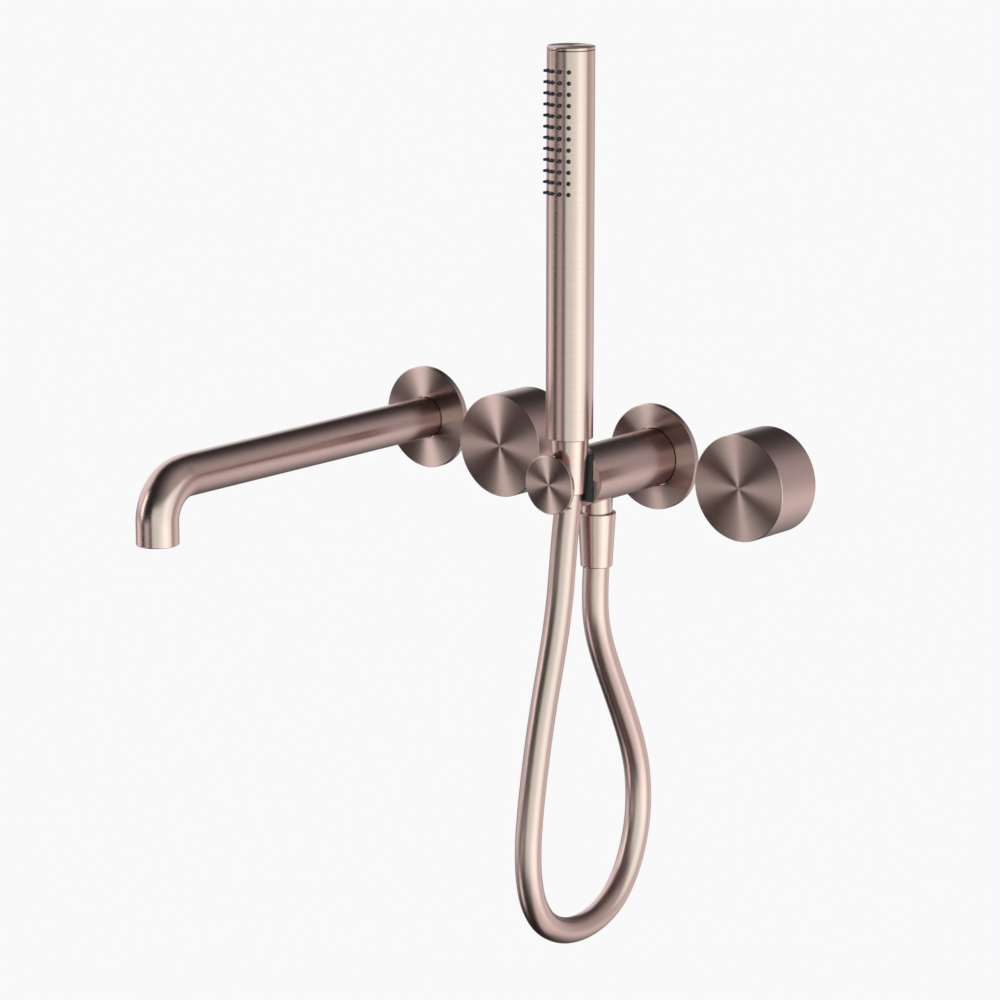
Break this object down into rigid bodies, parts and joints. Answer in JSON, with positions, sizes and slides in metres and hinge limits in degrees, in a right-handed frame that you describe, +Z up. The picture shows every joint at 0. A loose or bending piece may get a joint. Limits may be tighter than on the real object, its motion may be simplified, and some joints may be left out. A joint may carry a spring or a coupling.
{
  "type": "wall mounted bath faucet",
  "caption": "Wall-mounted bath set with a long bath spout, two round turning mixers, and a slim stick handset held upright in an arm and fed by a looped hose.",
  "frame": {"origin": "on the wall's face, at the height of the fittings' axes, midway along the row of four", "axes": "+Z up, -Y out of the wall towards the user, +X along the row from the spout to the far mixer"},
  "size_m": [0.2965, 0.2463, 0.4806],
  "materials": {
    "brushed_bronze": "circular and lengthwise brushed metal with a rose-bronze coating",
    "bronze_hose": "smooth satin metallic hose sleeve in the same rose-bronze",
    "raw_brass": "machined brass",
    "steel": "plain stainless",
    "black_rubber": "matt dark blue-black rubber",
    "black_plastic": "satin dark plastic",
    "white_plastic": "satin off-white plastic",
    "ceramic": "polished alumina ceramic"
  },
  "bodies": {
    "root": {"spout_gasket": "black_rubber", "spout_flange": "brushed_bronze", "spout_flange_oring": "black_rubber", "spout_nipple": "raw_brass", "spout_nipple_oring": "black_rubber", "spout_grub_screw": "steel", "arm_gasket": "black_rubber", "arm_flange": "brushed_bronze", "arm_flange_oring": "black_rubber", "arm_nipple": "raw_brass", "arm_nipple_oring": "black_rubber", "arm_grub_screw": "steel", "spout_tube": "brushed_bronze", "spout_insert": "raw_brass", "aerator_housing": "black_plastic", "aerator_core": "white_plastic", "aerator_seal": "black_rubber", "mixer_1_gasket": "black_rubber", "mixer_1_trim_ring": "brushed_bronze", "mixer_1_valve_sleeve": "raw_brass", "mixer_1_cartridge_body": "black_plastic", "mixer_1_cartridge_nut": "raw_brass", "mixer_1_fixed_disc": "ceramic", "mixer_2_gasket": "black_rubber", "mixer_2_trim_ring": "brushed_bronze", "mixer_2_valve_sleeve": "raw_brass", "mixer_2_cartridge_body": "black_plastic", "mixer_2_cartridge_nut": "raw_brass", "mixer_2_fixed_disc": "ceramic", "holder_arm": "brushed_bronze", "seat_liner": "black_plastic", "outlet_nipple": "brushed_bronze", "check_valve_housing": "white_plastic", "check_valve_spring": "steel", "outlet_hose_nut": "brushed_bronze", "outlet_hose_washer": "black_rubber", "outlet_hose_ferrule": "raw_brass", "hose": "bronze_hose"},
    "knob_1": {"mixer_1_knob": "brushed_bronze", "mixer_1_knob_insert": "white_plastic", "mixer_1_grub_screw": "steel", "mixer_1_spindle": "raw_brass", "mixer_1_turning_disc": "ceramic"},
    "knob_2": {"mixer_2_knob": "brushed_bronze", "mixer_2_knob_insert": "white_plastic", "mixer_2_grub_screw": "steel", "mixer_2_spindle": "raw_brass", "mixer_2_turning_disc": "ceramic"},
    "poppet": {"check_valve_poppet": "black_plastic"},
    "hose_end": {"handset_hose_ferrule": "raw_brass"},
    "handset": {"handset_hose_nut": "brushed_bronze", "handset_hose_washer": "black_rubber", "handset_tube": "brushed_bronze", "handset_cap": "brushed_bronze", "handset_cap_oring": "black_rubber", "nozzle_strip": "black_rubber", "handset_inlet": "raw_brass", "handset_filter": "white_plastic", "handset_waterway": "white_plastic"}
  },
  "joints": [
    {"name": "knob_1_turn", "type": "hinge", "parent": "root", "child": "knob_1", "pos_m": [-0.04, -0.02, 0], "axis": [0, -1, 0], "range_deg": [0, 110]},
    {"name": "knob_2_turn", "type": "hinge", "parent": "root", "child": "knob_2", "pos_m": [0.12, -0.02, 0], "axis": [0, -1, 0], "range_deg": [0, 110]},
    {"name": "handset_lift", "type": "slide", "parent": "root", "child": "hose_end", "axis": [0, 0, 1], "range_m": [0, 0.06]},
    {"name": "handset_turn", "type": "hinge", "parent": "hose_end", "child": "handset", "pos_m": [0.04, -0.075, 0.0222], "axis": [0, 0, 1], "continuous": true},
    {"name": "check_valve_open", "type": "slide", "parent": "root", "child": "poppet", "axis": [0, 0, -1], "range_m": [0, 0.0025], "stiffness_N_per_m": 60, "deforming": ["check_valve_spring"]}
  ]
}
